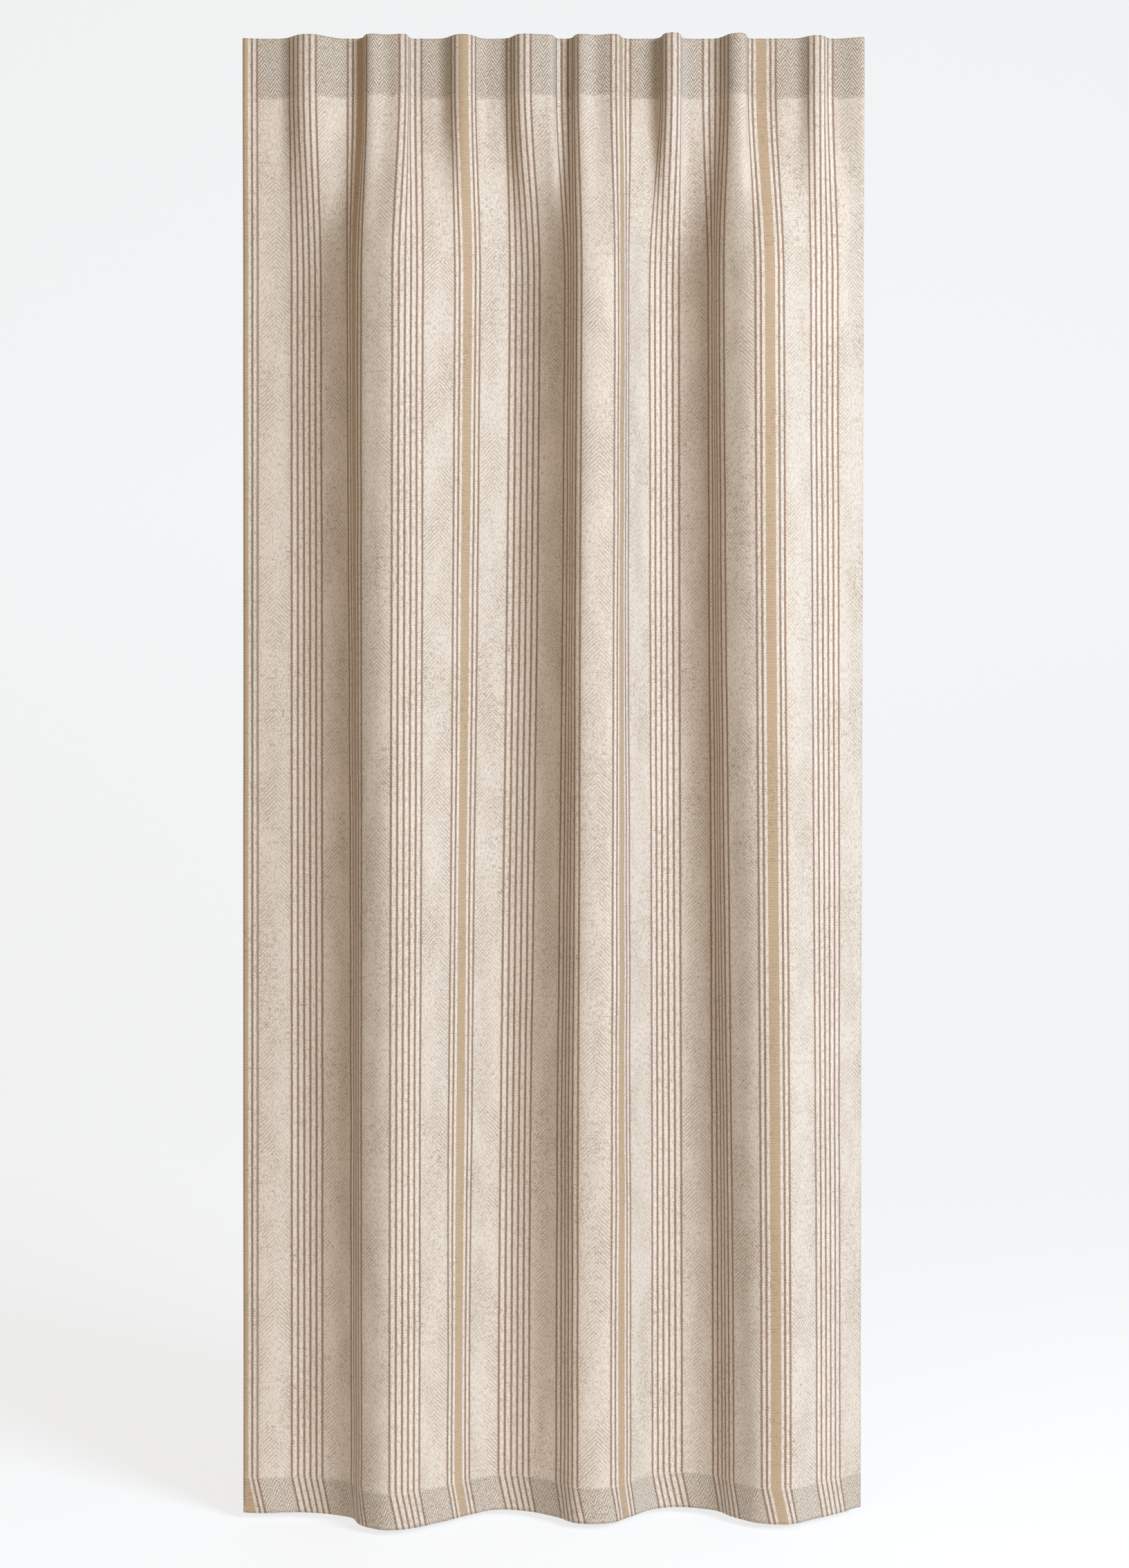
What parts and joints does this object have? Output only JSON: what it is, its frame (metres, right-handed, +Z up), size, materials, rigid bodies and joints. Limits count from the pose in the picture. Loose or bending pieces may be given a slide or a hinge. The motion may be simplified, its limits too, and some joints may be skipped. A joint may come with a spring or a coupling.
{
  "type": "curtain panel",
  "caption": "Striped herringbone cloth curtain panel, hemmed all round, hung from a round rod by hidden tabs on a heading tape and drawn along it.",
  "frame": {"origin": "on the rod's axis, in the middle of the first hidden tab, the one at the fixed end", "axes": "+X along the rod from the fixed end to the leading edge, +Y from the room to the window, +Z up"},
  "size_m": [1.0525, 0.1481, 2.5],
  "materials": {
    "striped_cloth": "woven linen-look cotton, cream with grey-brown herringbone bands and brown and tan stripes",
    "tape": "off-white woven heading tape",
    "tab": "off-white twill webbing",
    "thread": "cream sewing thread",
    "label": "plain white satin, blank"
  },
  "bodies": {
    "root": {"face_panel": "striped_cloth", "heading_turnover": "striped_cloth", "bottom_hem": "striped_cloth", "left_side_hem": "striped_cloth", "right_side_hem": "striped_cloth", "heading_tape": "tape", "tape_top_stitching": "thread", "tape_lower_stitching": "thread", "bottom_hem_stitching": "thread", "left_hem_stitching": "thread", "right_hem_stitching": "thread", "care_label": "label", "hidden_tab_1": "tab", "tab_1_bar_tacks": "thread"},
    "tab_2_slider": {"hidden_tab_2": "tab", "tab_2_bar_tacks": "thread"},
    "tab_3_slider": {"hidden_tab_3": "tab", "tab_3_bar_tacks": "thread"},
    "tab_4_slider": {"hidden_tab_4": "tab", "tab_4_bar_tacks": "thread"},
    "tab_5_slider": {"hidden_tab_5": "tab", "tab_5_bar_tacks": "thread"},
    "tab_6_slider": {"hidden_tab_6": "tab", "tab_6_bar_tacks": "thread"},
    "tab_7_slider": {"hidden_tab_7": "tab", "tab_7_bar_tacks": "thread"},
    "tab_8_slider": {"hidden_tab_8": "tab", "tab_8_bar_tacks": "thread"},
    "tab_9_slider": {"hidden_tab_9": "tab", "tab_9_bar_tacks": "thread"}
  },
  "joints": [
    {"name": "curtain_draw", "type": "slide", "parent": "root", "child": "tab_9_slider", "axis": [-1, 0, 0], "range_m": [0, 0.6], "deforming": ["face_panel", "heading_turnover", "bottom_hem", "left_side_hem", "right_side_hem", "heading_tape", "tape_top_stitching", "tape_lower_stitching", "bottom_hem_stitching", "left_hem_stitching", "right_hem_stitching", "care_label"]},
    {"name": "tab_8_slide", "type": "slide", "parent": "root", "child": "tab_8_slider", "axis": [-1, 0, 0], "range_m": [0, 0.5163]},
    {"name": "tab_7_slide", "type": "slide", "parent": "root", "child": "tab_7_slider", "axis": [-1, 0, 0], "range_m": [0, 0.4467]},
    {"name": "tab_6_slide", "type": "slide", "parent": "root", "child": "tab_6_slider", "axis": [-1, 0, 0], "range_m": [0, 0.3818]},
    {"name": "tab_5_slide", "type": "slide", "parent": "root", "child": "tab_5_slider", "axis": [-1, 0, 0], "range_m": [0, 0.3097]},
    {"name": "tab_4_slide", "type": "slide", "parent": "root", "child": "tab_4_slider", "axis": [-1, 0, 0], "range_m": [0, 0.2339]},
    {"name": "tab_3_slide", "type": "slide", "parent": "root", "child": "tab_3_slider", "axis": [-1, 0, 0], "range_m": [0, 0.1537]},
    {"name": "tab_2_slide", "type": "slide", "parent": "root", "child": "tab_2_slider", "axis": [-1, 0, 0], "range_m": [0, 0.0831]}
  ],
  "couplings": [
    {"joint": "tab_8_slide", "follows": "curtain_draw", "ratio": 0.86042},
    {"joint": "tab_7_slide", "follows": "curtain_draw", "ratio": 0.74448},
    {"joint": "tab_6_slide", "follows": "curtain_draw", "ratio": 0.63621},
    {"joint": "tab_5_slide", "follows": "curtain_draw", "ratio": 0.51609},
    {"joint": "tab_4_slide", "follows": "curtain_draw", "ratio": 0.38978},
    {"joint": "tab_3_slide", "follows": "curtain_draw", "ratio": 0.25613},
    {"joint": "tab_2_slide", "follows": "curtain_draw", "ratio": 0.13837}
  ]
}
